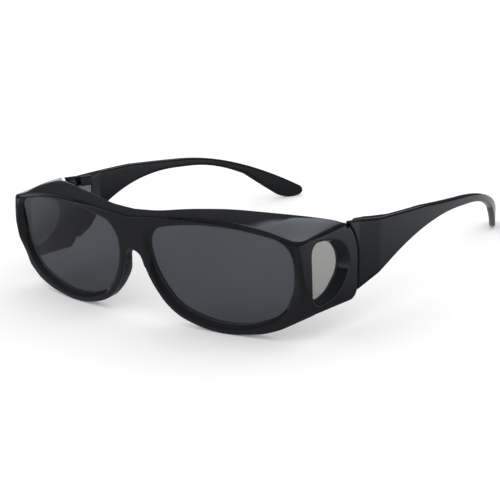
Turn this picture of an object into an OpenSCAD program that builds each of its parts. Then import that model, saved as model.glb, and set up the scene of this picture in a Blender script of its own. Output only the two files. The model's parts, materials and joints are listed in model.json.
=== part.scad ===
// Wrap-around glasses with smoke lenses, side windows and folding temples.
// Built as worn: X across the face, Y to the ears, Z up, then set down on its rims and temple tips.

/* [Front] */
// Outer width across the hinges
front_w = 146; // [140:1:154]
// Radius of the front in plan
face_r = 325; // [280:5:400]
// Lean of the front, its foot towards the cheeks
face_tilt = 10.5; // [7:0.5:13]
// Height of a lens opening at its front edge
lens_h = 38.2; // [34:0.2:41]
// Width of the bridge between the two openings
bridge_w = 13.6; // [12:0.2:17]
// Frame left between an opening and the side face
rim_side = 2.9; // [2.6:0.1:4]
// Width of the eye rim all round the opening
rim_w = 2.2; // [1.8:0.1:3]
// Depth of the eye rim, front to back
rim_t = 4.6; // [4.2:0.1:5.5]
// Width of the bevel inside the rim's front edge
bevel = 1.2; // [0.8:0.1:1.4]
// Radius of the corner between front and side
corner_r = 6; // [5:0.5:8]
// Top of the nose arch, above the lens centre
arch_top = 5.1; // [3:0.1:7]
// Radius of the nose arch
nose_r = 5.4; // [4.8:0.1:6]
// How far the nose flanges stand behind the rim
flange_d = 1.4; // [1:0.1:4]

/* [Brow] */
// Ledge between the rim's face and the brow deck
ledge = 0.7; // [0.5:0.1:1.2]
// Rise of the brow deck's lip over the rims, at the temples
brow_step = 1.3; // [0.8:0.1:1.6]
// Thickness of the brow deck
deck_t = 2.4; // [1.8:0.1:3.2]

/* [Side shield] */
// Distance from the front face at the bridge to the hinge line
shield_d = 31.6; // [29:0.2:35]
// Height of the temple's top over the lens centre
face_drop = 20; // [18:0.5:22]
// Wall of the side shield
side_t = 3.6; // [3.2:0.1:4]
// Height of the side shield at the hinge
shield_h = 28.3; // [27:0.1:31]
// How far the shield's rear edge bulges behind the hinge line
seam_y = 6.3; // [5.9:0.1:6.8]
// Radius of that edge's upper corner
seam_top_r = 16; // [12:0.5:18]
// Radius of that edge's lower corner
seam_low_r = 4.5; // [3:0.5:6]

/* [Lenses] */
// Thickness of the front lenses
lens_t = 2; // [1.6:0.1:2.2]
// Thickness of the side lenses
side_lens_t = 1.3; // [1:0.1:1.5]
// Depth of the grooves that hold the lenses
groove_d = 0.8; // [0.5:0.05:1]

/* [Temples] */
// Reach of a temple behind the hinge line
temple_l = 128.4; // [122:0.2:134]
// Height of a temple where it leaves the shield
temple_h = 25.4; // [22:0.2:26]
// Height of the slim middle
shaft_h = 4.4; // [3.8:0.1:6]
// Thickness of a temple
temple_t = 3; // [2.4:0.1:3.4]
// How far a temple bows out past the shield
bow = 4; // [3:0.2:6]

/* [Hinges] */
// Radius of the hinge knuckles
knuckle_r = 1.5; // [1.3:0.05:1.6]
// Height of one knuckle
knuckle_h = 2.2; // [1.8:0.1:2.4]
// Thickness of the hinge leaves
leaf_t = 1; // [0.7:0.05:1.2]
// Radius of the hinge screw's shank
screw_r = 0.7; // [0.5:0.05:0.8]
// Top of the hinge below the temple's top edge
hinge_top = 4.2; // [3.4:0.1:4.6]

/* [Fits] */
// Seam between shield and temple
seam_gap = 0.35; // [0.3:0.05:0.5]
// Play of a lens or leaf in its seat
seat = 0.04; // [0.02:0.01:0.08]
// Running clearance of the screw, on the radius
run = 0.04; // [0.02:0.01:0.08]

/* [Hidden] */
$fn = 96;
arc_step = 8;
arc_run = 4;
past = 100;
half_w = front_w / 2;
lens_w = half_w - rim_side - bridge_w / 2;
lens_in = 1.35;
side_lens_in = 0.3;

// Hinge: the shield's lip and the temple's tongue lie outside it, the lug and the block inside
lip = 2.1;
swing = 0.5;
knuckle_gap = 0.1;
hinge_h = 3 * knuckle_h + 2 * knuckle_gap;
pin = [half_w - lip - swing - knuckle_r, seam_y - 1.4];
lug = [[pin.x - knuckle_r, -2, -21.5], [half_w - lip, pin.y - knuckle_r - swing, -1.2]];
block_x = pin.x + swing;
block_y = pin.y + knuckle_r + 0.4;
front_leaf_y = 0.4;
temple_leaf_l = 5.6;

// Outline of straight edges joined by tangent arcs, counter-clockwise, grown outwards by d
function corner(a, b, c, r, d) =
    let (u = (b - a) / norm(b - a), v = (c - b) / norm(c - b))
    let (turn = atan2(u.x * v.y - u.y * v.x, u * v))
    let (s = turn < 0 ? -r : r)
    let (mid = b - u * s * tan(turn / 2) - [u.y, -u.x] * s)
    let (n = max(1, ceil(abs(turn) / arc_step), ceil(r * abs(turn) * PI / 180 / arc_run)))
    let (t0 = atan2(-u.x, u.y))
    r == 0 ? [b] : [for (k = [0:n]) let (t = t0 + turn * k / n) mid + (s + d) * [cos(t), sin(t)]];
function rounded(p, r, d = 0) =
    let (n = len(p))
    [for (i = [0:n - 1]) each corner(p[(i + n - 1) % n], p[i], p[(i + 1) % n], r[i], d)];

// Smooth curve through a table of [x, value]
function slope(t, i) =
    let (a = max(i - 1, 0), b = min(i + 1, len(t) - 1)) (t[b].y - t[a].y) / (t[b].x - t[a].x);
function curve(t, x, i = 0) =
    x > t[i + 1].x && i < len(t) - 2 ? curve(t, x, i + 1) :
    let (h = t[i + 1].x - t[i].x, s = (x - t[i].x) / h)
    t[i].y * (1 + 2 * s) * (1 - s) ^ 2 + h * slope(t, i) * s * (1 - s) ^ 2
    + t[i + 1].y * s ^ 2 * (3 - 2 * s) + h * slope(t, i + 1) * s ^ 2 * (s - 1);

// Lens opening, seen from the front: x from the nose, height from the lens centre
lens_shape = [[0.0122, -0.0592], [0.1518, -0.3897], [0.5491, -0.5853], [0.9149, -0.3311],
    [0.9936, -0.0406], [1.0073, 0.388], [0.4987, 0.5662], [-0.0252, 0.3766]];
lens_round = [27, 20.5, 47, 17, 24.5, 9.8, 107, 10];
lens_scale = min(lens_w / 63.3, lens_h / 38.2);
function opening(d) = rounded([for (p = lens_shape) [bridge_w / 2 + p.x * lens_w, p.y * lens_h]],
    lens_round * lens_scale, d);

// Plan of the front, from the face at the bridge: depth of the outer face at x, set in by i
face_n = 13;
corner_n = 8;
corner_x = half_w - corner_r;
corner_y = face_r - sqrt((face_r - corner_r) ^ 2 - corner_x ^ 2);
function face_y(x, i = 0) = face_r - sqrt((face_r - i) ^ 2 - x ^ 2);
function wrap_y(x, i) = x < corner_x * (face_r - i) / (face_r - corner_r) ? face_y(x, i)
    : corner_y - sqrt(max((corner_r - i) ^ 2 - (x - corner_x) ^ 2, 0));
function lean(p) = [p.x, -shield_d + p.y * cos(face_tilt) - p.z * sin(face_tilt),
    -face_drop + p.y * sin(face_tilt) + p.z * cos(face_tilt)];

// Lip of the brow deck: drop below the rims' highest line, over the share of the half width
rim_top = lens_h / 2 + rim_w;
lip_fall = [[0, 3], [0.08, 2.35], [0.16, 1.85], [0.25, 1.35], [0.34, 0.97], [0.45, 0.7], [0.53, 0.61],
    [0.585, 0.76], [0.64, 1.07], [0.694, 1.5], [0.747, 2.1], [0.798, 2.83], [0.848, 3.75], [0.897, 5.11],
    [0.921, 6.06], [0.944, 7.15], [0.957, 7.05], [0.969, 6.4], [0.982, 5.9], [1, 6.1]];
function lip_z(x) = rim_top - curve(lip_fall, x / half_w);

// The rims' top leaves the lip beside the bridge, so that a groove opens between the two
function groove(x) = min(max((x / half_w - 0.2) / 0.65, 0), 1) * min(1, (half_w - x) / 3);
function rim_z(x) = lip_z(x) - brow_step * groove(x);

// Rear edge of the brow deck
deck_y = [[0, -30], [0.16, -29.7], [0.33, -27.7], [0.49, -24.8], [0.63, -20.8], [0.74, -16.2],
    [0.82, -11.6], [0.904, -6.2], [0.96, -2.8], [1, 0.1]];
deck_z = [[0, 0.2], [0.16, 0.9], [0.33, 2.6], [0.49, 3.6], [0.6, 3.75], [0.74, 3.1],
    [0.82, 2.4], [0.904, 1.5], [0.96, 0.7], [1, -0.5]];

// Side view of the shield's hinge edge, grown by g
function hinge_edge(g) = rounded([[-40, -shield_h - 3.4], [seam_y, 0.35 - shield_h], [seam_y, -7.5],
    [-4, 4.6], [-40, 4.6]], [0, seam_low_r, seam_top_r, 0, 0], g);

// Side view of the temple: deep front, slim shaft, drooping tip, and back along the top
crest_z = 0.8;
shaft_z = crest_z - shaft_h;
temple_side = [[-3, -temple_h], [seam_y + 0.3, -temple_h], [42.5, shaft_z], [temple_l - 40.4, shaft_z],
    [temple_l - 25.6, -9.9], [temple_l - 8.2, -22.5], [temple_l + 2, -19.2], [temple_l - 29.4, -0.5],
    [40, crest_z], [15, -0.3], [-3, 0.1]];
temple_round = [0, 0, 86, 68, 8, 8.6, 2.6, 112, 60, 20, 0];
temple_outline = rounded(temple_side, temple_round);

// Rest pitch: rims and temple tips stand on the same level
rim_outline = [for (p = opening(rim_w)) lean([p.x, wrap_y(p.x, 0), p.y])];
rim_foot = [for (p = rim_outline) if (p.z == min([for (q = rim_outline) q.z])) p][0];
tail = [for (p = temple_outline) if (p.x > temple_l / 2) p];
tip_foot = [for (p = tail) if (p.y == min([for (q = tail) q.y])) p][0];
pitch = atan2(tip_foot.y - rim_foot.z, tip_foot.x - rim_foot.y);
function pitched(y, z) = [y * cos(pitch) + z * sin(pitch), -y * sin(pitch) + z * cos(pitch)];
front_end = lean([0, 0, lip_z(0)]);
rear_end = max([for (p = tail) pitched(p.x, p.y).x]);
middle_y = (pitched(front_end.y, front_end.z).x + rear_end) / 2;
foot_z = pitched(rim_foot.y, rim_foot.z).y;

module placed() {
    translate([0, -middle_y, -foot_z])
        rotate([-pitch, 0, 0])
            children();
}

module leaned() {
    translate([0, -shield_d, -face_drop])
        rotate([face_tilt, 0, 0])
            children();
}

// A front view drawn in x and z, run from y0 to y1
module front_prism(y0, y1) {
    translate([0, y1, 0])
        rotate([90, 0, 0])
            linear_extrude(y1 - y0)
                children();
}

// A side view drawn in y and z, run from x0 to x1
module side_prism(x0, x1) {
    translate([x0, 0, 0])
        rotate([90, 0, 90])
            linear_extrude(x1 - x0)
                children();
}

module both() {
    children();
    mirror([1, 0, 0])
        children();
}

// Plan of everything behind the outer face, set in by f at the front and s at the sides
function plan_half(f, s) =
    let (r = max(corner_r - max(f, s), 1), x = half_w - s - r, face = face_r - f)
    let (y = face_r - sqrt((face - r) ^ 2 - x ^ 2), t = asin(x / (face - r)))
    concat(
        [for (k = [0:face_n]) let (v = t * k / face_n) [face * sin(v), face_r - face * cos(v)]],
        [for (k = [1:corner_n]) let (v = (90 - t) * (k / corner_n - 1)) [x + r * cos(v), y + r * sin(v)]],
        [[half_w - s, past]]);
function mirrored(p) = [for (i = [len(p) - 1:-1:0]) [-p[i].x, p[i].y]];
module plan_fill(f, s) {
    half = plan_half(f, s);
    polygon(concat(half, [for (p = mirrored(half)) if (p.x < 0) p]));
}

// Plan band between two depths behind the face, across the lenses
module face_band(d0, d1) {
    difference() {
        intersection() {
            translate([0, face_r])
                circle(face_r - d0, $fn = 720);
            translate([-half_w, 0])
                square([2 * half_w, 30]);
        }
        translate([0, face_r])
            circle(face_r - d1, $fn = 720);
    }
}

module lens_band(d0, d1, grow) {
    intersection() {
        translate([0, 0, -lens_h])
            linear_extrude(2 * lens_h)
                face_band(d0, d1);
        front_prism(-1, 30)
            polygon(opening(grow));
    }
}

// Bevelled mouth of a lens opening, warped to follow the curved face
module bevel_cutter() {
    over = 0.05;
    rim = opening(0.3);
    floor = opening(-bevel - over);
    n = len(rim);
    mid = bridge_w / 2 + lens_w / 2;
    pts = concat(
        [for (p = rim) [p.x, face_y(p.x) - 0.3, p.y]],
        [for (p = floor) [p.x, face_y(p.x) + bevel + over, p.y]],
        [[mid, -6, 0], [mid, face_y(mid) + bevel + over, 0]]);
    walls = [for (i = [0:n - 1]) let (j = (i + 1) % n) each [
        [i, j, n + i], [j, n + j, n + i], [2 * n, j, i], [2 * n + 1, n + i, n + j]]];
    polyhedron(pts, walls);
}

// Side window: a drop lying on its flat front edge, in shares of the shield's depth and height.
// Its mouth on the shield's face is wider than the pane, above all to the rear.
mouth_shape = [[-0.579, -0.977], [-0.117, -0.892], [0.107, -0.457], [-0.125, -0.198], [-0.624, -0.151]];
mouth_round = [4.2, 15.3, 7.6, 10.7, 4.4];
pane_shape = [[-0.579, -0.901], [-0.319, -0.864], [-0.034, -0.5], [-0.238, -0.183], [-0.579, -0.21]];
pane_round = [1.4, 12.7, 7.5, 7.9, 2.6];
window_scale = min(shield_d / 31.6, shield_h / 28.3);
pane_in = half_w - side_t + side_lens_in;
pane_out = pane_in + side_lens_t;
module window(shape, radii, d = 0) {
    polygon(rounded([for (p = shape) [p.x * shield_d, p.y * shield_h]], radii * window_scale, d));
}

module window_cutter() {
    slice = 0.01;
    side_prism(lug[0].x - 1, pane_out)
        window(pane_shape, pane_round);
    hull() {
        side_prism(pane_out - slice, pane_out)
            window(pane_shape, pane_round);
        side_prism(half_w, half_w + 1)
            window(mouth_shape, mouth_round);
    }
    side_prism(pane_in - seat, pane_out + seat)
        window(pane_shape, pane_round, groove_d + seat);
}

// Brow deck: stations across the front, each a crowned top over a plain underside
module brow_deck() {
    across = 4;
    bulge = 0.05;
    n = 36;
    stations = [for (i = [0:n]) let (x = half_w * (2 * i / n - 1), a = abs(x))
        let (fade = min(1, (half_w - a) / 8))
        let (f = lean([x, wrap_y(a, ledge * groove(a)), lip_z(a)]))
        let (r = [x, curve(deck_y, a / half_w), curve(deck_z, a / half_w)])
        let (crown = bulge * norm(r - f) * fade)
        concat(
            [for (k = [0:across - 1]) let (s = k / (across - 1), rise = 4 * crown * s * (1 - s))
                f + (r - f) * s + [0, 0, rise]],
            [r - [0, 0, deck_t], f + [0, 0.5, -deck_t - brow_step]])];
    m = across + 2;
    pts = [for (s = stations) each s];
    skin = [for (i = [0:n - 1], k = [0:m - 1]) let (a = i * m + k, b = i * m + (k + 1) % m)
        each [[a, b, a + m], [b, b + m, a + m]]];
    foot = m - 2;
    ends = [for (k = [0:m - 1]) let (j = (k + 1) % m) if (k != foot && j != foot) each [
        [foot, j, k], [n * m + foot, n * m + k, n * m + j]]];
    polyhedron(pts, concat(skin, ends));
}

// Foot of the front beside the cheek: rise over the rims' lowest line
cheek_rise = [[0.66, 0.3], [0.734, 1.2], [0.79, 2.3], [0.847, 3.8], [0.9, 5.6], [0.953, 7.4], [1, 8.5]];
function cheek_z(x) = curve(cheek_rise, x / half_w) - rim_top;

// The rims, the bridge and the front of the shields, seen from the front
module front_outline() {
    level = 8;
    n = 28;
    cheek = [for (k = [0:12]) let (x = half_w * (0.66 + 0.34 * k / 12)) [x, cheek_z(x)]];
    top = [for (k = [-n:n]) let (x = half_w * k / n) [x, rim_z(abs(x))]];
    intersection() {
        polygon(concat(top, [[half_w, -lens_h], [-half_w, -lens_h]]));
        union() {
            both() {
                polygon(opening(rim_w));
                polygon(concat(cheek, [[half_w, level], [half_w * 0.66, level]]));
            }
            translate([-half_w, level - 1])
                square([2 * half_w, lens_h]);
            difference() {
                translate([-bridge_w / 2, arch_top - nose_r])
                    square([bridge_w, level + nose_r - arch_top]);
                translate([0, arch_top - nose_r])
                    circle(nose_r);
            }
        }
    }
}

// Flange behind the rim beside the nose, thinning out below
module nose_flange() {
    reach = [24, 8];
    sweep_r = 13;
    intersection() {
        front_prism(rim_t - 2, rim_t + flange_d)
            difference() {
                polygon(opening(rim_w));
                polygon(opening(0.4));
                translate([reach.x, -lens_h])
                    square(2 * lens_h);
                translate([0, reach.y])
                    square(2 * lens_h);
            }
        side_prism(0, reach.x + 10)
            translate([rim_t + flange_d - sweep_r, -6])
                circle(sweep_r);
    }
}

// Side wall from the front's corner to the hinge edge
module shield_panel() {
    front = [for (z = [-30, 30]) let (p = lean([half_w, corner_y + 0.7, z])) [p.y, p.z]];
    deck = lean([half_w, corner_y + 0.7, rim_z(half_w) - 1]);
    side_prism(half_w - side_t, half_w)
        intersection() {
            polygon(hinge_edge(0));
            polygon([front[0], [12, front[0].y], [12, -2], [1, -2], [deck.y, deck.z]]);
        }
}

module hinge_lug() {
    translate(lug[0])
        cube(lug[1] - lug[0]);
}

// Behind the lug only the shield's lip goes on, outside the temple's tongue
module temple_room() {
    translate([half_w - lip - past, lug[1].y, -past / 2])
        cube([past, past, past]);
}

module front_frame() {
    color("#17181b")
        difference() {
            union() {
                leaned() {
                    intersection() {
                        translate([0, 0, -past / 2])
                            linear_extrude(past)
                                difference() {
                                    plan_fill(0, 0);
                                    plan_fill(rim_t, side_t);
                                }
                        front_prism(-5, corner_y + 1.5)
                            front_outline();
                    }
                    both()
                        nose_flange();
                }
                brow_deck();
                both() {
                    shield_panel();
                    hinge_lug();
                }
            }
            leaned()
                both() {
                    front_prism(-5, 16)
                        polygon(opening(-bevel));
                    bevel_cutter();
                    lens_band(lens_in - seat, lens_in + lens_t + seat, groove_d - bevel + seat);
                }
            both() {
                window_cutter();
                temple_room();
                front_leaf_seat(seat);
            }
        }
}

module front_leaf_seat(g) {
    translate([lug[0].x - g, front_leaf_y - g, -hinge_top - hinge_h - g])
        cube([leaf_t + 2 * g, lug[1].y - front_leaf_y + 2 * g, hinge_h + 2 * g]);
}

module lens() {
    color("#3a4044", 0.6)
        leaned()
            lens_band(lens_in, lens_in + lens_t, groove_d - bevel);
}

module side_lens() {
    color("#7d8286", 0.5)
        side_prism(pane_in, pane_out)
            window(pane_shape, pane_round, groove_d);
}

// Plan of the temple: front block, bowed shaft, inward tip
bow_r = 230;
bow_y = 38;
bow_c = [half_w + bow - bow_r, bow_y];
tip_y = 80;
tip_a = asin((tip_y - bow_y) / bow_r);
tip_r = 112;
inner_r = 116;
outer_tip = bow_c + bow_r * [cos(tip_a), sin(tip_a)];
inner_tip = bow_c + (bow_r - temple_t) * [cos(tip_a), sin(tip_a)];
function bow_x(y, r) = bow_c.x + sqrt(r ^ 2 - (y - bow_y) ^ 2);
module temple_plan() {
    kink = 14.8;
    tongue_x = half_w - lip + 0.3;
    far = temple_l + 4;
    outer = outer_tip - tip_r * [cos(tip_a), sin(tip_a)];
    inner = inner_tip - inner_r * [cos(tip_a), sin(tip_a)];
    ys = [for (k = [0:26]) kink + (tip_y - kink) * k / 26];
    polygon(concat(
        [[tongue_x, -3], [half_w, -3], [half_w, seam_y + seam_gap]],
        [for (y = ys) [bow_x(y, bow_r), y]],
        [for (k = [1:18]) let (t = tip_a + (asin((far - outer.y) / tip_r) - tip_a) * k / 18)
            outer + tip_r * [cos(t), sin(t)]],
        [for (k = [18:-1:1]) let (t = tip_a + (asin((far - inner.y) / inner_r) - tip_a) * k / 18)
            inner + inner_r * [cos(t), sin(t)]],
        [for (i = [26:-1:2]) [bow_x(ys[i], bow_r - temple_t), ys[i]]],
        [[block_x, kink - 1.6], [block_x, block_y], [tongue_x, block_y]]));
}

module temple() {
    color("#17181b")
        difference() {
            intersection() {
                translate([0, 0, -past / 2])
                    linear_extrude(past)
                        temple_plan();
                side_prism(0, past)
                    difference() {
                        polygon(temple_outline);
                        polygon(hinge_edge(seam_gap));
                    }
            }
            temple_leaf_seat(seat);
        }
}

module temple_leaf_seat(g) {
    translate([block_x - g, block_y - g, -hinge_top - hinge_h - g])
        cube([leaf_t + 2 * g, temple_leaf_l + 2 * g, hinge_h + 2 * g]);
}

// Foot of knuckle number k, counted down from the top
function knuckle_z(k) = -hinge_top - (k + 1) * knuckle_h - k * knuckle_gap;
module knuckle(k) {
    translate([pin.x, pin.y, knuckle_z(k)])
        cylinder(h = knuckle_h, r = knuckle_r);
}

module screw_hole() {
    translate([pin.x, pin.y, -2 * hinge_h])
        cylinder(h = 2 * hinge_h, r = screw_r + run);
}

module hinge_front_leaf() {
    color("#b9bcc0")
        difference() {
            union() {
                front_leaf_seat(0);
                for (k = [0, 2]) {
                    knuckle(k);
                    translate([lug[0].x, front_leaf_y, knuckle_z(k)])
                        cube([leaf_t, pin.y - front_leaf_y, knuckle_h]);
                }
            }
            screw_hole();
        }
}

module hinge_temple_leaf() {
    color("#b9bcc0")
        difference() {
            union() {
                temple_leaf_seat(0);
                knuckle(1);
                translate([block_x, pin.y, knuckle_z(1)])
                    cube([leaf_t, block_y + 1 - pin.y, knuckle_h]);
            }
            screw_hole();
        }
}

module hinge_screw() {
    head_h = 0.7;
    slot = 0.3;
    color("#c9ccd0")
        difference() {
            translate([pin.x, pin.y, -hinge_top]) {
                translate([0, 0, -hinge_h])
                    cylinder(h = hinge_h, r = screw_r);
                cylinder(h = head_h, r = knuckle_r - 0.25);
            }
            translate([pin.x - slot / 2, pin.y - 2, -hinge_top + head_h / 2])
                cube([slot, 4, 1]);
        }
}

module right() {
    mirror([1, 0, 0])
        children();
}

placed() front_frame();
placed() lens();  // lens_left
placed() right() lens();  // lens_right
placed() side_lens();  // side_lens_left
placed() right() side_lens();  // side_lens_right
placed() temple();  // temple_left
placed() right() temple();  // temple_right
placed() hinge_front_leaf();  // hinge_front_leaf_left
placed() right() hinge_front_leaf();  // hinge_front_leaf_right
placed() hinge_temple_leaf();  // hinge_temple_leaf_left
placed() right() hinge_temple_leaf();  // hinge_temple_leaf_right
placed() hinge_screw();  // hinge_screw_left
placed() right() hinge_screw();  // hinge_screw_right
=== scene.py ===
# %% [markdown]
# # Fit-over driving glasses
# Black injection-moulded frame with smoke lenses, side windows and folding temples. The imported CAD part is
# the frame of reference; this lesson gives it its moulded surfaces, materials and light.

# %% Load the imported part
import json
import math
import bpy
import numpy as np
from mathutils import Matrix, Vector


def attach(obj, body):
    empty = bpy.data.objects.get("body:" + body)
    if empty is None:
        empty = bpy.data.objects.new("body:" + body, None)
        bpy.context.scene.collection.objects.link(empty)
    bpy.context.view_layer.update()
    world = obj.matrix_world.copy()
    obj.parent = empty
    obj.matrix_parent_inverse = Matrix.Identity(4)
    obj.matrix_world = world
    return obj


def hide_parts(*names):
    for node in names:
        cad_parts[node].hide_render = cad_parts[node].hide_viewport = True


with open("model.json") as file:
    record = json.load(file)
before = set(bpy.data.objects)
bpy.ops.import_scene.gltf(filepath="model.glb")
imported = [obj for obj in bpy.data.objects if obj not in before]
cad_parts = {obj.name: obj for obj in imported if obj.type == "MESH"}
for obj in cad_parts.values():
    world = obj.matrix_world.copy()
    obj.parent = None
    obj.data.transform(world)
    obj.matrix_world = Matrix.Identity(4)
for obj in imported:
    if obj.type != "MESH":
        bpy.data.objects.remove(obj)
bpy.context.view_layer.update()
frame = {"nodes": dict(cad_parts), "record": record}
nodes = frame["nodes"]
scene = bpy.context.scene

# %% [markdown]
# Three places follow each other. The front has its origin between the lenses and leans by 10.5 degrees. The
# worn glasses have theirs between the hinges, 31.6 mm behind and 20 mm above it. Put down on a table, they
# pitch forward by 7.5 degrees until rims and temple tips touch it.

# %% From the leaning front to the worn glasses to the table


def moved(x, y, z, turn):
    """A turn about X in degrees, then a shift in millimetres."""
    return Matrix.Translation(Vector((x, y, z)) / 1000) @ Matrix.Rotation(math.radians(turn), 4, "X")


lean, pitch = 10.5, 7.48085
hinge_behind, hinge_above = 31.6, 20
middle_y, foot_z = 44.1843, -37.2768
table_from_worn = moved(0, -middle_y, -foot_z, -pitch)
table_from_front = table_from_worn @ moved(0, -hinge_behind, -hinge_above, lean)
print("front's lean against the table:", round(lean - pitch, 2), "degrees")

# %% [markdown]
# A moulding has no sharp edge: the toolmaker rounds every one. Bevels on a mesh fail where many curved faces
# meet, as they do here. So each black part is made as a distance field, a block of numbers that say how far
# each point is from the surface, negative inside the plastic. The larger of two fields is what both share,
# and near the edge a quarter circle takes the place of the sharp corner.

# %% Rounded edges and fillets between fields


def shared(a, b, radius):
    """What both fields hold, its edge rounded to the radius."""
    u, v = np.maximum(a + radius, 0), np.maximum(b + radius, 0)
    return np.hypot(u, v) - radius + np.minimum(np.maximum(a, b) + radius, 0)


def joined(a, b, radius):
    """What either field holds, with a fillet of the radius between them."""
    return -shared(-a, -b, radius)


def without(a, b, radius):
    """The first field with the second cut out of it, its edge rounded to the radius."""
    return shared(a, -b, radius)


def between(value, low, high):
    """Field of a slab between two planes."""
    return np.maximum(low - value, value - high)


# %% [markdown]
# The profiles are drawn as the mould's drawings are: straight edges joined by tangent arcs, and a few
# smooth curves through measured heights.

# %% Profiles


def rounded(corners, radii, step=1.5):
    """Outline of straight edges joined by tangent arcs, one point for each step in degrees."""
    points = []
    for i, radius in enumerate(radii):
        a, b, c = (Vector(corners[k % len(corners)]) for k in (i - 1, i, i + 1))
        into, out = (b - a).normalized(), (c - b).normalized()
        turn = math.atan2(into.x * out.y - into.y * out.x, into.dot(out))
        reach = math.copysign(radius, turn)
        middle = b - into * reach * math.tan(turn / 2) - Vector((into.y, -into.x)) * reach
        start = math.atan2(-into.x, into.y)
        steps = math.ceil(abs(math.degrees(turn)) / step) if radius else 0
        angles = [start + turn * k / steps for k in range(steps + 1)] if steps else []
        points += [middle + reach * Vector((math.cos(t), math.sin(t))) for t in angles] or [b]
    return np.array([tuple(p) for p in points])


def curve(table, x):
    """Smooth curve through a table of (x, value)."""
    xs, values = np.array(table).T
    i = np.arange(len(xs))
    before, after = np.maximum(i - 1, 0), np.minimum(i + 1, len(xs) - 1)
    slope = (values[after] - values[before]) / (xs[after] - xs[before])
    x = np.clip(x, xs[0], xs[-1])
    i = np.clip(np.searchsorted(xs, x, side="right") - 1, 0, len(xs) - 2)
    width = xs[i + 1] - xs[i]
    s = (x - xs[i]) / width
    return (values[i] * (1 + 2 * s) * (1 - s) ** 2 + width * slope[i] * s * (1 - s) ** 2
            + values[i + 1] * s ** 2 * (3 - 2 * s) + width * slope[i + 1] * s ** 2 * (s - 1))


def to_outline(u, v, points):
    """Distance from each grid point to a closed outline, negative inside."""
    nearest = np.full(u.shape, 1e9)
    inside = np.zeros(u.shape, bool)
    for (ax, ay), (bx, by) in zip(points, np.roll(points, -1, 0)):
        ex, ey, px, py = bx - ax, by - ay, u - ax, v - ay
        along = np.clip((px * ex + py * ey) / max(ex * ex + ey * ey, 1e-12), 0, 1)
        nearest = np.minimum(nearest, (px - along * ex) ** 2 + (py - along * ey) ** 2)
        inside ^= ((ay > v) != (by > v)) & ((px * ey < py * ex) == (ey > 0))
    return np.where(inside, -1, 1) * np.sqrt(nearest)


# %% [markdown]
# The surface is read out of the field the way a moulding fills its mould: one point goes into every cell
# that the surface crosses, neighbouring points make a four-sided face, and the slope of the field gives each
# point its direction, so that gloss runs over it without facets.

# %% From field to skin


def sample(block, at):
    """Values of a block of numbers between its grid points."""
    low = np.clip(np.floor(at).astype(int), 0, np.array(block.shape) - 2)
    part = at - low
    total = 0
    for corner in np.ndindex(2, 2, 2):
        share = np.prod(np.where(corner, part, 1 - part), axis=1)
        total = total + share * block[tuple((low + corner).T)]
    return total


def skin(field):
    """Points, faces and directions of a field's zero surface, counted in grid steps."""
    solid = field < 0
    size = tuple(n - 1 for n in field.shape)
    held = [solid[i:size[0] + i, j:size[1] + j, k:size[2] + k] for i, j, k in np.ndindex(2, 2, 2)]
    crossed = np.any(held, axis=0) & ~np.all(held, axis=0)
    cells = np.argwhere(crossed)
    number = np.full(size, -1)
    number[crossed] = np.arange(len(cells))
    points = cells + 0.5
    slopes = np.gradient(field)
    for _ in range(3):
        grade = np.stack([sample(s, points) for s in slopes], axis=1)
        points = points - grade * (sample(field, points) / np.maximum((grade ** 2).sum(1), 1e-3))[:, None]
        points = np.clip(points, cells - 0.1, cells + 1.1)
    grade = np.stack([sample(s, points) for s in slopes], axis=1)
    faces = []
    for axis in range(3):
        b, c = np.eye(3, dtype=int)[(axis + 1) % 3], np.eye(3, dtype=int)[(axis + 2) % 3]
        edges = np.argwhere(np.diff(solid, axis=axis))
        edges = edges[(edges[:, (axis + 1) % 3] > 0) & (edges[:, (axis + 2) % 3] > 0)]
        edges = edges[np.all(edges < size, axis=1)]
        around = [number[tuple(e.T)] for e in (edges, edges - b, edges - b - c, edges - c)]
        around = np.stack(around, axis=1)
        outwards = solid[tuple(edges.T)][:, None]
        faces.append(np.where(outwards, around, around[:, ::-1]))
    return points, np.concatenate(faces), grade / np.linalg.norm(grade, axis=1)[:, None]


def moulding(name, field, start, step, place, body, node, mirror=False):
    """A smooth mesh of a field whose first grid point lies at start, in millimetres."""
    points, faces, directions = skin(field)
    points = (np.array(start) + step * points) / 1000
    turn = np.array(place)
    points = points @ turn[:3, :3].T + turn[:3, 3]
    directions = directions @ turn[:3, :3].T
    if mirror:
        points, directions, faces = points * (-1, 1, 1), directions * (-1, 1, 1), faces[:, ::-1]
    mesh = bpy.data.meshes.new(name)
    mesh.from_pydata(points.tolist(), [], faces.tolist())
    mesh.polygons.foreach_set("use_smooth", [True] * len(faces))
    mesh.normals_split_custom_set_from_vertices(directions.tolist())
    piece = bpy.data.objects.new(name, mesh)
    scene.collection.objects.link(piece)
    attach(piece, body)
    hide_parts(node)
    print(name, len(faces), "faces")
    return piece


# %% [markdown]
# The front has two lens openings of 63 by 38 mm, 13.6 mm apart, in rims 2.2 mm wide, with the brow over them
# and the sides bent back at a small corner. The field covers the wearer's left half and is mirrored
# afterwards, so both halves agree to the last digit.

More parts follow.
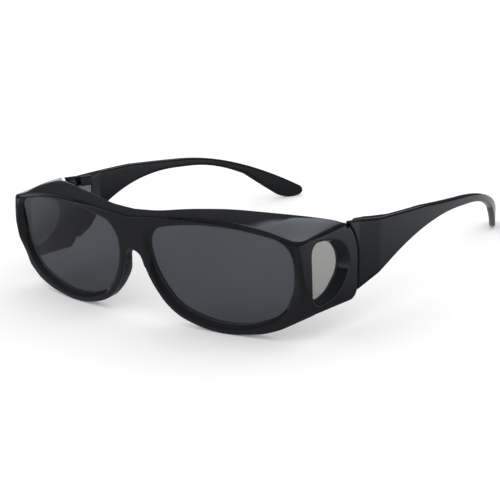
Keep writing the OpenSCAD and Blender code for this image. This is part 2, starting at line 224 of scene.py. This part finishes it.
# %% Grid of the front and its measured curves
half_w, face_r, corner_r, rim_top = 73, 325, 4, 21.3
rim_w, rim_t, side_t, bevel = 2.2, 4.6, 3.6, 1.2
fine = 0.36
x = np.arange(0, 75, fine)
y = np.arange(-2, 42, fine)
z = np.arange(-25.2, 25.2, fine)
front_x, front_z = np.meshgrid(x, z, indexing="ij")
plan_x, plan_y = np.meshgrid(x, y, indexing="ij")
side_y, side_z = np.meshgrid(y, z, indexing="ij")
cos_lean, sin_lean = math.cos(math.radians(lean)), math.sin(math.radians(lean))
worn_y = side_y * cos_lean - side_z * sin_lean - hinge_behind
worn_z = side_y * sin_lean + side_z * cos_lean - hinge_above
lip_fall = [(0, 3), (0.08, 2.35), (0.16, 1.85), (0.25, 1.35), (0.34, 0.97), (0.45, 0.7), (0.53, 0.61),
            (0.585, 0.76), (0.64, 1.07), (0.694, 1.5), (0.747, 2.05), (0.798, 2.7), (0.848, 3.55),
            (0.904, 4.75), (0.93, 5.3), (0.959, 5.85), (0.98, 6.25), (1, 6.6)]
cheek_rise = [(0.66, 0.55), (0.734, 1.2), (0.79, 2.3), (0.847, 3.8), (0.9, 5.6), (0.953, 7.4), (1, 8.5)]


def lip_z(x):
    """Height of the brow deck's lip over the lens centre."""
    return rim_top - curve(lip_fall, np.abs(x) / half_w)


print("grid of the front:", len(x), len(y), len(z))

# %% [markdown]
# Seen from above, the face is an arc of 325 mm radius, then a corner, then a straight side. The corner has
# 4 mm radius at the brow, 2 mm half way up, where the rim swells forward by up to 1.3 mm, and 6 mm below.
# The wall behind is the same shape set in by its thickness.

# %% Wrap-round wall
bend = (np.hypot(plan_x, plan_y - face_r) - face_r)[:, :, None]
across_x = x[:, None, None]
side_face = across_x - half_w
swell_t, swell_x, swell_z, swell_h = 1.3, 69, 3, 13
swell = np.clip((front_x - swell_x) / 3, 0, 1) * np.clip(1 - ((front_z - swell_z) / swell_h) ** 2, 0, 1)
by_height = np.interp(z, [-12, -2, 5, 17], [6, 2, 2, corner_r])
outer = shared(bend - swell_t * swell[:, None, :], side_face, by_height)
inner = shared(bend + rim_t, side_face + side_t, 1.4)
corner_y = face_r - math.sqrt((face_r - corner_r) ** 2 - (half_w - corner_r) ** 2)
front_end = 14.6
print("the side starts", round(corner_y, 1), "mm behind the bridge")

# %% [markdown]
# In the front view the rims, the cheek and the band under the brow are one outline. The nose arch is a bore
# of 5.4 mm radius through the bridge. The rim's lower outer corner is the softest edge of the whole frame.

# %% Rims and bridge
bridge_w, opening_w, opening_h = 13.6, 63.3, 38.2
nose_r, nose_z, band_z, cheek_x = 5.4, -0.3, 7, 48.2
edge_r, softer = 0.45, 2.2
opening = rounded([(bridge_w / 2 + opening_w * u, opening_h * v) for u, v in
                   [(0.0122, -0.0592), (0.1518, -0.3897), (0.5491, -0.5853), (0.9149, -0.3311),
                    (0.9936, -0.0406), (1.0073, 0.388), (0.4987, 0.5662), (-0.0252, 0.3766)]],
                  [27, 20.5, 47, 17, 24.5, 9.8, 107, 10])
to_opening = to_outline(front_x, front_z, opening)
across = np.linspace(-15, 80, 191)
rim_z = lip_z(across) - 0.5
band = between(front_z, band_z, 30)
below_lip = to_outline(front_x, front_z, np.array([*zip(across, rim_z), (80, -40), (-15, -40)]))
cheek = np.linspace(cheek_x, 80, 50)
cheek = np.array([*zip(cheek, curve(cheek_rise, cheek / half_w) - rim_top), (80, 8), (cheek_x, 8)])
bridge = np.maximum(front_x - bridge_w / 2, between(front_z, nose_z, 8))
bridge = np.maximum(bridge, nose_r - np.hypot(front_x, front_z - nose_z))
outline = joined(np.minimum(to_opening - rim_w, band), to_outline(front_x, front_z, cheek), 0.5)
outline = np.maximum(joined(outline, bridge, 1.2), below_lip)[:, None, :]
soft = edge_r + softer * np.clip((front_x - 62) / 8, 0, 1) * np.clip(-front_z / 4, 0, 1)
front = shared(shared(outer, outline, soft[:, None, :]), -inner, 0.5)
front = np.maximum(front, y[None, :, None] - front_end)
print("lens opening:", [round(float(v), 1) for v in np.ptp(opening, axis=0)], "mm")

# %% [markdown]
# The brow deck closes the gap between lenses and forehead. Its lip bends down at the corner, and behind the
# lip the deck is crowned so that water runs off. A fine groove parts it from each rim. It opens beside the
# bridge, is 1.1 mm wide over the temples and dies out beside the lens.

# %% Brow deck
deck_y = [(0, -30), (0.16, -29.7), (0.33, -27.7), (0.49, -24.8), (0.63, -20.8), (0.74, -16.2),
          (0.82, -11.6), (0.904, -6.2), (0.96, -2.8), (1, 0.1)]
deck_z = [(0, 0.2), (0.16, 0.9), (0.33, 2.6), (0.49, 3.6), (0.6, 3.75), (0.74, 3.1),
          (0.82, 2.4), (0.904, 1.5), (0.96, 0.7), (1, -0.5)]
deck_t, thinner, crown_share, uncrowned = 3.3, 0.9, 0.05, 12
at = np.minimum(x, half_w)
in_corner = np.sqrt(corner_r ** 2 - np.maximum(at - half_w + corner_r, 0) ** 2)
corner_starts = (half_w - corner_r) * face_r / (face_r - corner_r)
lip_y = np.where(at < corner_starts, face_r - np.sqrt(face_r ** 2 - at ** 2), corner_y - in_corner)
first = np.stack([lip_y * cos_lean - lip_z(at) * sin_lean - hinge_behind,
                  lip_y * sin_lean + lip_z(at) * cos_lean - hinge_above])
last = np.stack([curve(deck_y, at / half_w), curve(deck_z, at / half_w)])
crown = crown_share * np.hypot(*(last - first)) * np.clip((half_w - at) / uncrowned, 0, 1)
first, last, crown = (v[..., None, None] for v in (first, last, crown))
share = np.clip((worn_y - first[0]) / (last[0] - first[0]), -0.3, 1.3)
ruling = first[1] + (last[1] - first[1]) * share
deck = shared(worn_z - ruling - 4 * crown * share * (1 - share), 0.85 * (worn_y - last[0]), 0.9)
deck = shared(deck, outer, 0.5 + 0.5 * np.clip((across_x - 69) / 3, 0, 1))
deck = shared(deck, side_face, 0.2)
deck = np.maximum(deck, ruling - deck_t + thinner * share - worn_z)
print("deck depth at the bridge:", round(float(last[0, 0, 0, 0] - first[0, 0, 0, 0]), 1), "mm")

# %% [markdown]
# The side shield is a wall of 3.6 mm with the hinge lug inside. Its rear edge is the seam to the temple:
# a straight line with a 16 mm radius above and 4.5 mm below.

# %% Side shield, hinge lug and nose flange
seam = rounded([(-40, -31.7), (6.3, -27.95), (6.3, -7.5), (-4, 4.6), (-40, 4.6)], [0, 4.5, 16, 0, 0])
lug_in, lug_back, lug_low, lug_high = 67.4, 2.9, -21.5, -1.2
flange_y, flange_z, flange_r, flange_x = -7, -6, 13, 24
to_seam = to_outline(worn_y, worn_z, seam)
below_deck = np.array([(-45, -45), (12, -45), (12, -2), (1, -2), (-45, -5.2)])
below_deck = to_outline(worn_y, worn_z, below_deck)
wall = between(across_x, half_w - side_t, half_w)
shield = np.maximum(shared(wall, to_seam, 0.6), below_deck)
shield = np.maximum(shield, 13 - y[None, :, None])
lug = shared(between(across_x, lug_in, half_w - 1), worn_y - lug_back, 0.4)
lug = shared(lug, 0.72 * (lug_in - across_x) - 0.7 * (worn_y - 0.2), 0.4)
lug = shared(lug, between(worn_z, lug_low, lug_high), 0.4)
ring = np.maximum(to_opening - rim_w, 0.4 - to_opening)
ring = np.maximum(np.maximum(ring, front_x - flange_x), front_z - 8)[:, None, :]
flange = shared(ring, np.hypot(side_y - flange_y, side_z - flange_z) - flange_r, 0.6)
flange = np.maximum(flange, between(y, 2.6, 6.0)[None, :, None])
body = np.minimum(front, deck)
body = np.minimum(body, shield)
body = joined(joined(body, lug, 0.6), flange, 0.8)
print("seam bulge:", round(float(seam[:, 0].max()), 1), "mm behind the hinge line")

# %% [markdown]
# Then the openings: each lens opening has a 1.2 mm bevel at its mouth, and each side window widens outwards
# over 2 mm, most at the rear, so that the pane lies deep in the shield. The edges of lenses and panes sit in
# grooves that nobody sees; here the plastic simply closes round them.

# %% Openings, windows and the room for the temple
groove_w, groove_d, groove_starts = 1.1, 0.7, 0.25
groove_x = np.linspace(groove_starts * half_w, 69.4, 60)
upper = np.column_stack([groove_x, lip_z(groove_x) - 0.35])
lower = upper - np.outer(groove_w * np.clip((groove_x / half_w - groove_starts) / 0.5, 0, 1), (0, 1))
groove = np.concatenate([upper, [(70.8, 10.2), (70.4, 10.2)], lower[::-1]])
groove = to_outline(front_x, front_z, groove)[:, None, :]
body = without(body, np.maximum(groove, -groove_d - outer), 0.3)
hole = to_opening[:, None, :] + np.clip(-outer, 0, bevel)
body = without(body, np.maximum(hole, y[None, :, None] - 16), 0.3)
shield_size = np.array([31.6, 28.3])
flare, pane_in = 2, 66
mouth = shield_size * [(-0.579, -0.977), (-0.117, -0.892), (0.107, -0.457), (-0.125, -0.198),
                       (-0.624, -0.151)]
pane = shield_size * [(-0.579, -0.901), (-0.319, -0.864), (-0.034, -0.5), (-0.238, -0.183),
                      (-0.579, -0.21)]
to_mouth = to_outline(worn_y, worn_z, rounded(mouth, [4.2, 15.3, 7.6, 10.7, 4.4]))
to_pane = to_outline(worn_y, worn_z, rounded(pane, [1.4, 12.7, 7.5, 7.9, 2.6]))
depth = np.clip(-side_face / flare, 0, 1)
window = np.maximum((1 - depth) * to_mouth + depth * to_pane, pane_in - across_x)
body = without(body, window, 0.3)
temple_in, leaf_low, leaf_high = 71.2, -11.05, -4.15
room = np.maximum(across_x - temple_in + 0.3, lug_back - worn_y)
body = without(body, room, 0.25)
pocket = np.maximum(between(across_x, 66, 68.45), between(worn_y, 0.36, 4))
body = np.maximum(body, -np.maximum(pocket, between(worn_z, leaf_low, leaf_high)))
whole = np.concatenate([body[:0:-1], body])
front_skin = moulding("moulded_front", whole, (-x[-1], y[0], z[0]), fine, table_from_front,
                      "front", "front_frame")

# %% [markdown]
# The temple is 3 mm thick and 25 mm deep at the hinge, slims to 4.4 mm, bows out round the head and droops
# behind the ear. Its front edge repeats the seam with a gap of 0.35 mm.

# %% Temples
x = np.arange(46, 79, fine)
y = np.arange(-4, 131, fine)
z = np.arange(-27, 3, fine)
plan_x, plan_y = np.meshgrid(x, y, indexing="ij")
side_y, side_z = np.meshgrid(y, z, indexing="ij")
bow_r, bow_y, tip_y, temple_t, reach, seam_gap = 230, 38, 80, 3, 128.4, 0.35
middle = np.array([half_w + 4 - bow_r, bow_y])
droop = math.asin((tip_y - bow_y) / bow_r)
aim = np.array([math.cos(droop), math.sin(droop)])


def bow(y, radius):
    """Points of the bowed shaft at each y."""
    return [(middle[0] + math.sqrt(radius ** 2 - (v - bow_y) ** 2), v) for v in y]


def hook(radius, start):
    """Points of the tip's arc, from the end of the bow to past the tip."""
    centre = start - radius * aim
    angles = np.linspace(droop, math.asin((reach + 6 - centre[1]) / radius), 40)[1:]
    return [tuple(centre + radius * np.array([math.cos(t), math.sin(t)])) for t in angles]


along = np.linspace(14.8, tip_y, 60)
plan = [(temple_in, -3), (half_w, -3), (half_w, 6.65), *bow(along, bow_r), *hook(112, middle + bow_r * aim),
        *hook(116, middle + (bow_r - temple_t) * aim)[::-1], *bow(along[::-1][:-6], bow_r - temple_t),
        (69.4, 13.2), (69.4, 6.8), (temple_in, 6.8)]
side = [(-3, -25.4), (6.6, -25.4), (42.5, -3.6), (reach - 40.4, -3.6), (reach - 25.6, -9.9),
        (reach - 8.2, -22.5), (reach + 2, -19.2), (reach - 29.4, -0.5), (40, 0.8), (15, -0.3), (-3, 0.1)]
to_side = to_outline(side_y, side_z, rounded(side, [0, 0, 86, 68, 8, 8.6, 2.6, 112, 60, 20, 0]))
to_plan = to_outline(plan_x, plan_y, np.array(plan))[:, :, None]
arm = shared(to_plan, to_side, 0.9)
arm = without(arm, to_outline(side_y, side_z, seam) - seam_gap, 0.3)
pocket = np.maximum(between(x, 66, 70.45)[:, None, None], between(side_y, 6.7, 12.45))
arm = np.maximum(arm, -np.maximum(pocket, between(side_z, leaf_low, leaf_high)))
arms = [moulding("moulded_temple_" + hand, arm, (x[0], y[0], z[0]), fine, table_from_worn,
                 hand + "_arm", "temple_" + hand, hand == "right") for hand in ("left", "right")]

# %% [markdown]
# Colours are written as hex values, as one reads them from a picture. Light adds up in linear values, so one
# function turns every hex value into linear red, green and blue. Another adds a node and wires it.

# %% Colours and nodes


def linear(hex_colour, alpha=1.0):
    """An sRGB hex colour as linear red, green, blue and alpha."""
    out = []
    for k in (1, 3, 5):
        c = int(hex_colour[k:k + 2], 16) / 255
        out.append(c / 12.92 if c <= 0.04045 else ((c + 0.055) / 1.055) ** 2.4)
    return (*out, alpha)


def add(tree, kind, settings=None, **links):
    """Adds a node. Settings are properties or socket values, links are the sockets that feed it."""
    node = tree.nodes.new(kind)
    for name, value in (settings or {}).items():
        if isinstance(name, int) or name in node.inputs:
            node.inputs[name].default_value = value
        else:
            setattr(node, name, value)
    for name, source in links.items():
        tree.links.new(source, node.inputs[name.replace("_", " ")])
    return node


def new_material(name):
    """A new material and its empty node tree."""
    material = bpy.data.materials.new(name)
    material.use_nodes = True
    material.node_tree.nodes.clear()
    return material, material.node_tree


# %% [markdown]
# Frame and temples are moulded in black plastic in a polished steel mould. Two things tell it from paint:
# the surface is never quite flat, because the wall shrinks as it cools, and the gloss is faintly uneven
# where the mould was polished by hand.

# %% Black moulded plastic


def black_plastic():
    """Polished black plastic: waves about 9 mm long from shrinkage, gloss that varies over about 3 mm."""
    material, tree = new_material("polished_black_plastic")
    place = add(tree, "ShaderNodeTexCoord").outputs["Object"]
    waves = add(tree, "ShaderNodeTexNoise", {"Scale": 1 / 0.009, "Detail": 1.0}, Vector=place)
    polish = add(tree, "ShaderNodeTexNoise", {"Scale": 1 / 0.003, "Detail": 3.0}, Vector=place)
    gloss = add(tree, "ShaderNodeMapRange", {"To Min": 0.05, "To Max": 0.11}, Value=polish.outputs["Fac"])
    tone = add(tree, "ShaderNodeMix", {"data_type": "RGBA"}, Factor=polish.outputs["Fac"])
    tone.inputs[6].default_value = linear("#101114")
    tone.inputs[7].default_value = linear("#16171a")
    ripple = add(tree, "ShaderNodeBump", {"Strength": 0.06, "Distance": 0.0004}, Height=waves.outputs["Fac"])
    shader = add(tree, "ShaderNodeBsdfPrincipled", {"IOR": 1.5}, Base_Color=tone.outputs[2],
                 Roughness=gloss.outputs["Result"], Normal=ripple.outputs["Normal"])
    add(tree, "ShaderNodeOutputMaterial", Surface=shader.outputs["BSDF"])
    return material


black = black_plastic()
print("material:", black.name)

# %% [markdown]
# The lenses are dyed plastic. Light that comes through has crossed the dye, so the tint is the colour of
# the transmitted light; the surface reflects like clear glass. The dye bath leaves very soft clouds.

# %% Smoke lenses


def dyed_lens(name, thin, thick, cloud=0.02):
    """Tinted lens: the transmitted colour drifts between two hex values in clouds of that size in metres."""
    material, tree = new_material(name)
    place = add(tree, "ShaderNodeTexCoord").outputs["Object"]
    clouds = add(tree, "ShaderNodeTexNoise", {"Scale": 1 / cloud, "Detail": 0.5}, Vector=place)
    tint = add(tree, "ShaderNodeMix", {"data_type": "RGBA"}, Factor=clouds.outputs["Fac"])
    tint.inputs[6].default_value = linear(thin)
    tint.inputs[7].default_value = linear(thick)
    glass = {"IOR": 1.5, "Roughness": 0.0, "Transmission Weight": 1.0}
    shader = add(tree, "ShaderNodeBsdfPrincipled", glass, Base_Color=tint.outputs[2])
    add(tree, "ShaderNodeOutputMaterial", Surface=shader.outputs["BSDF"])
    return material


smoke = dyed_lens("smoke_lens", "#505258", "#4b4d53")
pale = dyed_lens("pale_grey_lens", "#9e9e9c", "#9b9b99", 0.012)

# %% [markdown]
# The hinge leaves are blanked from strip steel, and the screw is turned. Rolling leaves fine lines along the
# strip, about a tenth of a millimetre apart, that make its gloss uneven.

# %% Hinge steel


def strip_steel():
    """Rolled strip steel with lines 0.1 mm apart."""
    material, tree = new_material("rolled_strip_steel")
    place = add(tree, "ShaderNodeTexCoord").outputs["Object"]
    stretch = add(tree, "ShaderNodeMapping", {"Scale": (1, 0.05, 1)}, Vector=place)
    lines = add(tree, "ShaderNodeTexNoise", {"Scale": 1 / 0.0001, "Detail": 2.0},
                Vector=stretch.outputs["Vector"])
    gloss = add(tree, "ShaderNodeMapRange", {"To Min": 0.22, "To Max": 0.42}, Value=lines.outputs["Fac"])
    shader = add(tree, "ShaderNodeBsdfPrincipled", {"Base Color": linear("#b4b4b6"), "Metallic": 1.0},
                 Roughness=gloss.outputs["Result"])
    add(tree, "ShaderNodeOutputMaterial", Surface=shader.outputs["BSDF"])
    return material


steel = strip_steel()
print("material:", steel.name)

# %% [markdown]
# Lenses, side panes, hinge leaves and screws keep the shape that they have in the CAD part. The record names
# a finish for each, so a table from that name to the material dresses them all in one loop. The three black
# skins are new pieces and get the black plastic by name.

# %% A material for every piece
finish_of = {"frame_black": black, "lens_smoke": smoke, "side_smoke": pale, "hinge_steel": steel}
slot_of = {p["node"]: p["material_slot"] for p in frame["record"]["subparts"]}
for name, node in nodes.items():
    node.data.materials.clear()
    node.data.materials.append(finish_of[slot_of[name]])
    print(name, "->", slot_of[name])
for piece in (front_skin, *arms):
    piece.data.materials.append(black)

# %% [markdown]
# The camera was solved from the photograph: 41.2 degrees round to the wearer's left, 11.8 degrees above the
# glasses as they are worn, through a 108 mm lens. At rest the glasses lie pitched forward on their rims,
# so the same pitch turns the camera.

# %% Camera
azimuth, elevation = math.radians(41.21), math.radians(11.83)
right = Vector((math.cos(azimuth), math.sin(azimuth), 0))
level = Vector((-math.sin(azimuth), math.cos(azimuth), 0))
ahead = level * math.cos(elevation) - Vector((0, 0, math.sin(elevation)))
up = right.cross(ahead)
eye = Vector((0.38080, -0.40246, 0.09589))
worn = Matrix((right, up, -ahead)).transposed().to_4x4()
worn.translation = eye
camera = bpy.data.objects.new("camera", bpy.data.cameras.new("camera"))
camera.data.lens = 108
camera.data.sensor_width = 36
camera.data.clip_start = 0.01
camera.matrix_world = table_from_worn @ worn
scene.collection.objects.link(camera)
scene.camera = camera
print("camera at", [round(v, 4) for v in camera.matrix_world.translation])

# %% [markdown]
# A product photographer's table: a white sweep that the camera sees as pure white and level light from all
# sides. Black gloss shows what stands around it, so reflections see a studio of their own: a dark room with
# one pale softbox high on the far side, which gives the brow its bluish facet, and a floor with painted
# pools of light that glow only in reflections. The softbox fades at both ends, and the room grows a little
# lighter with height.

# %% Floor and world


def in_reflections(tree):
    """1 for rays that gloss mirrors. Rays through a lens count as glossy too, so they are taken off."""
    path = add(tree, "ShaderNodeLightPath")
    mirrored = add(tree, "ShaderNodeMath", {"operation": "SUBTRACT", "use_clamp": True})
    tree.links.new(path.outputs["Is Glossy Ray"], mirrored.inputs[0])
    tree.links.new(path.outputs["Is Transmission Ray"], mirrored.inputs[1])
    return mirrored.outputs["Value"]


def paper_and_painted_glow():
    """White paper: full white to the eye; in the frame's gloss a painted glow, grey, lighter behind and to
    the left.
    """
    material, tree = new_material("sweep_paper_and_painted_glow")
    place = add(tree, "ShaderNodeTexCoord").outputs["Object"]
    # Paper fibres are too fine to show, so the grain is drawn 2 mm wide.
    grain = add(tree, "ShaderNodeTexNoise", {"Scale": 1 / 0.002, "Detail": 2.0}, Vector=place)
    tone = add(tree, "ShaderNodeMapRange", {"To Min": 0.97, "To Max": 1.0}, Value=grain.outputs["Fac"])
    paper = add(tree, "ShaderNodeBsdfDiffuse", Color=tone.outputs["Result"])
    path = add(tree, "ShaderNodeLightPath")
    lift = add(tree, "ShaderNodeMath", {"operation": "MULTIPLY", 1: 0.12})
    tree.links.new(path.outputs["Is Camera Ray"], lift.inputs[0])
    glow = add(tree, "ShaderNodeEmission", Strength=lift.outputs["Value"])
    lit = add(tree, "ShaderNodeAddShader")
    tree.links.new(paper.outputs["BSDF"], lit.inputs[0])
    tree.links.new(glow.outputs["Emission"], lit.inputs[1])

    # Painted reflection: rays that gloss mirrors see the paper as a glow, not as lit paper, brighter in
    # painted pools at the front, behind and to the left.
    spot = add(tree, "ShaderNodeSeparateXYZ", Vector=place)
    slant = add(tree, "ShaderNodeMath", {"operation": "MULTIPLY_ADD", 1: 0.6})
    tree.links.new(spot.outputs["X"], slant.inputs[0])
    tree.links.new(spot.outputs["Y"], slant.inputs[2])
    slant = slant.outputs["Value"]
    near = add(tree, "ShaderNodeMapRange",
               {"From Min": -0.05, "From Max": 0.05, "To Min": 0.26, "To Max": 0.12}, Value=slant)
    back = add(tree, "ShaderNodeMapRange",
               {"From Min": 0.02, "From Max": 0.16, "To Min": 0.12, "To Max": 0.75}, Value=slant)
    left = add(tree, "ShaderNodeMapRange",
               {"From Min": -0.2, "From Max": -0.1, "To Min": 0.75, "To Max": 0.12}, Value=spot.outputs["X"])
    level = near
    for other in (back, left):
        brighter = add(tree, "ShaderNodeMath", {"operation": "MAXIMUM"})
        tree.links.new(level.outputs[0], brighter.inputs[0])
        tree.links.new(other.outputs["Result"], brighter.inputs[1])
        level = brighter
    painted_glow = add(tree, "ShaderNodeEmission", {"Color": (0.93, 0.96, 1.0, 1)}, Strength=level.outputs["Value"])
    mix = add(tree, "ShaderNodeMixShader", Fac=in_reflections(tree))
    tree.links.new(lit.outputs["Shader"], mix.inputs[1])
    tree.links.new(painted_glow.outputs["Emission"], mix.inputs[2])
    add(tree, "ShaderNodeOutputMaterial", Surface=mix.outputs["Shader"])
    return material


bpy.ops.mesh.primitive_plane_add(size=6, location=(0, 0, 0))
floor = bpy.context.object
floor.name = "sweep_with_painted_glow"
floor.data.materials.append(paper_and_painted_glow())

world = bpy.data.worlds.new("studio")
scene.world = world
world.use_nodes = True
tree = world.node_tree
tree.nodes.clear()
place = add(tree, "ShaderNodeTexCoord").outputs["Generated"]
split = add(tree, "ShaderNodeSeparateXYZ", Vector=place)
height = add(tree, "ShaderNodeMapRange", {"From Min": 0.2, "From Max": 0.65, "To Min": 0.07, "To Max": 0.2},
             Value=split.outputs["Z"])
behind = add(tree, "ShaderNodeMapRange", {"From Min": 0.0, "From Max": 0.2, "To Min": 0.0, "To Max": 1.4},
             Value=split.outputs["Y"])
right_end = add(tree, "ShaderNodeMapRange", {"From Min": -0.1, "From Max": 0.1, "To Max": 0.0},
                Value=split.outputs["X"], To_Min=behind.outputs["Result"])
left_end = add(tree, "ShaderNodeMapRange", {"From Min": -0.45, "From Max": -0.4, "To Min": 0.0},
               Value=split.outputs["X"], To_Max=right_end.outputs["Result"])
above = add(tree, "ShaderNodeMapRange", {"From Min": 0.42, "From Max": 0.5}, Value=split.outputs["Z"])
softbox = add(tree, "ShaderNodeMath", {"operation": "MULTIPLY_ADD"})
for k, source in enumerate((left_end, above, height)):
    tree.links.new(source.outputs["Result"], softbox.inputs[k])
dark_room = add(tree, "ShaderNodeBackground", {"Color": (0.84, 0.89, 1.0, 1)},
                Strength=softbox.outputs["Value"])
daylight = add(tree, "ShaderNodeBackground", {"Color": (1.0, 1.0, 1.0, 1), "Strength": 1.0})
mix = add(tree, "ShaderNodeMixShader", Fac=in_reflections(tree))
tree.links.new(daylight.outputs["Background"], mix.inputs[1])
tree.links.new(dark_room.outputs["Background"], mix.inputs[2])
add(tree, "ShaderNodeOutputWorld", Surface=mix.outputs["Shader"])

scene.view_settings.view_transform = "Standard"
print("light level 1.0 all round")
